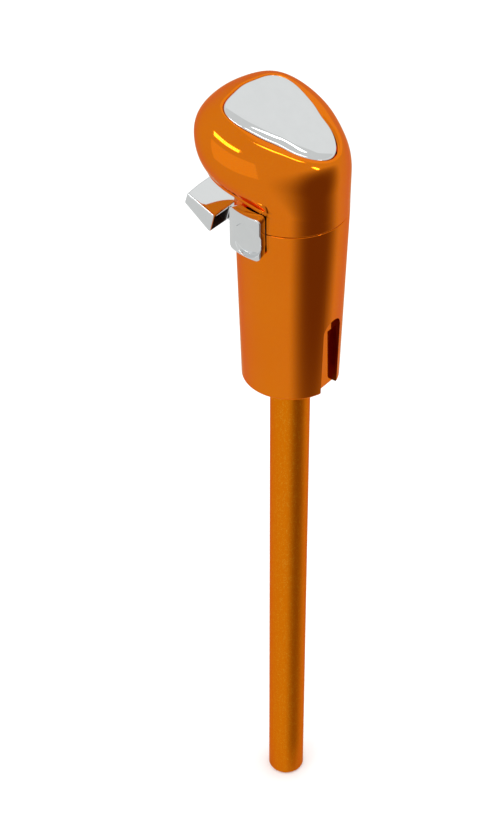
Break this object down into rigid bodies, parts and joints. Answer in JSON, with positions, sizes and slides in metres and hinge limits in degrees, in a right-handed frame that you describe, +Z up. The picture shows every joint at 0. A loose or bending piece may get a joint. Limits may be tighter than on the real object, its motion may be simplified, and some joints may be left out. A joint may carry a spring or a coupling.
{
  "type": "truck gearshift knob",
  "caption": "Heavy truck gearshift knob with a range lever, a splitter button, a lower cover with an air line channel and a shaft extension.",
  "frame": {"origin": "centre of the shaft extension's bottom face, at the mouth of its threaded hole", "axes": "+Z up the shaft towards the head, +X towards the nose and the range lever, +Y to the knob's left, where the splitter button is"},
  "size_m": [0.0743, 0.0688, 0.4157],
  "materials": {
    "candy_paint": "metallic cadmium orange under a clear gloss coat",
    "candy_paint_satin": "fine metallic orange, satin",
    "plated": "bright chrome plating",
    "zinc_steel": "zinc plated",
    "machined_aluminium": "machined, clear anodised",
    "brass_fitting": "turned brass",
    "seal_rubber": "nitrile rubber",
    "foam_pad": "self-adhesive foam"
  },
  "bodies": {
    "knob": {"shaft_extension": "candy_paint_satin", "lower_cover": "candy_paint", "upper_housing": "candy_paint", "top_insert": "plated", "jam_nut": "zinc_steel", "cover_washer": "zinc_steel", "threaded_insert": "zinc_steel", "base_plate_screws": "zinc_steel", "housing_screws": "zinc_steel", "range_lever_pin": "zinc_steel", "splitter_pivot_pin": "zinc_steel", "splitter_valve_screws": "zinc_steel", "range_detent_ball": "zinc_steel", "range_detent_spring": "zinc_steel", "splitter_detent_ball": "zinc_steel", "splitter_detent_spring": "zinc_steel", "valve_body": "machined_aluminium", "base_plate": "machined_aluminium", "splitter_valve_body": "machined_aluminium", "range_bore_plug": "machined_aluminium", "splitter_bore_plug": "machined_aluminium", "supply_fitting": "brass_fitting", "range_fitting": "brass_fitting", "splitter_fitting": "brass_fitting", "compression_nuts": "brass_fitting", "ferrules": "brass_fitting", "base_gasket": "seal_rubber", "splitter_port_seal": "seal_rubber", "insert_pad": "foam_pad"},
    "range_lever": {"range_lever": "plated"},
    "range_spool": {"range_spool": "machined_aluminium", "range_spool_seals": "seal_rubber"},
    "splitter": {"splitter_carrier": "machined_aluminium", "splitter_button": "plated", "splitter_button_screw": "zinc_steel"},
    "splitter_spool": {"splitter_spool": "machined_aluminium", "splitter_spool_seals": "seal_rubber"}
  },
  "joints": [
    {"name": "range_lever_tilt", "type": "hinge", "parent": "knob", "child": "range_lever", "pos_m": [0.016, 0, 0.353], "axis": [0, 1, 0], "range_deg": [0, 26]},
    {"name": "range_spool_slide", "type": "slide", "parent": "knob", "child": "range_spool", "axis": [0, 0, 1], "range_m": [0, 0.00383]},
    {"name": "splitter_turn", "type": "hinge", "parent": "knob", "child": "splitter", "pos_m": [0, 0, 0.368], "axis": [0, 0, 1], "range_deg": [0, 10]},
    {"name": "splitter_spool_slide", "type": "slide", "parent": "knob", "child": "splitter_spool", "axis": [1, 0, 0], "range_m": [0, 0.00192]}
  ],
  "couplings": [
    {"joint": "range_spool_slide", "follows": "range_lever_tilt", "m_per_rad": 0.0084273},
    {"joint": "splitter_spool_slide", "follows": "splitter_turn", "m_per_rad": 0.010986}
  ]
}
